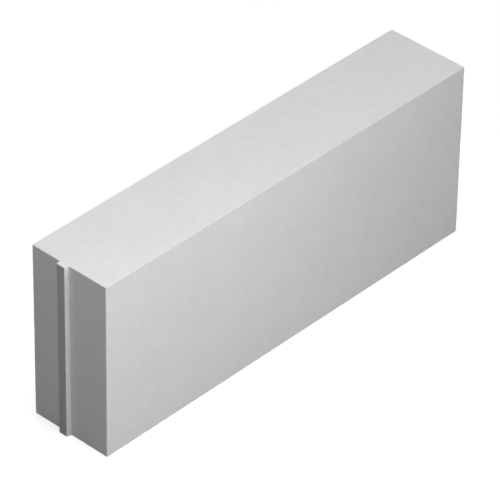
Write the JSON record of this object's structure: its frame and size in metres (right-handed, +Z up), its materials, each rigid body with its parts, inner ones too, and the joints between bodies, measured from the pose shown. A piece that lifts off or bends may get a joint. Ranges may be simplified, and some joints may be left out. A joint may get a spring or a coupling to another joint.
{
  "type": "concrete block",
  "caption": "Long, thin block of light grey aerated concrete for building partition walls, with sawn faces and a tapered tongue up the full height of one end.",
  "frame": {"origin": "middle of the lower bed face of the body, between its two end faces, the tongue left out", "axes": "+Z up, from the lower bed face to the upper one; +X along the wall, from the tongue end to the plain end; +Y through the wall, from its front face to its back face"},
  "size_m": [0.606, 0.115, 0.24],
  "materials": {
    "aerated_concrete": "matt, light grey, finely porous, sawn"
  },
  "bodies": {
    "root": {"concrete_block": "aerated_concrete"}
  },
  "joints": []
}
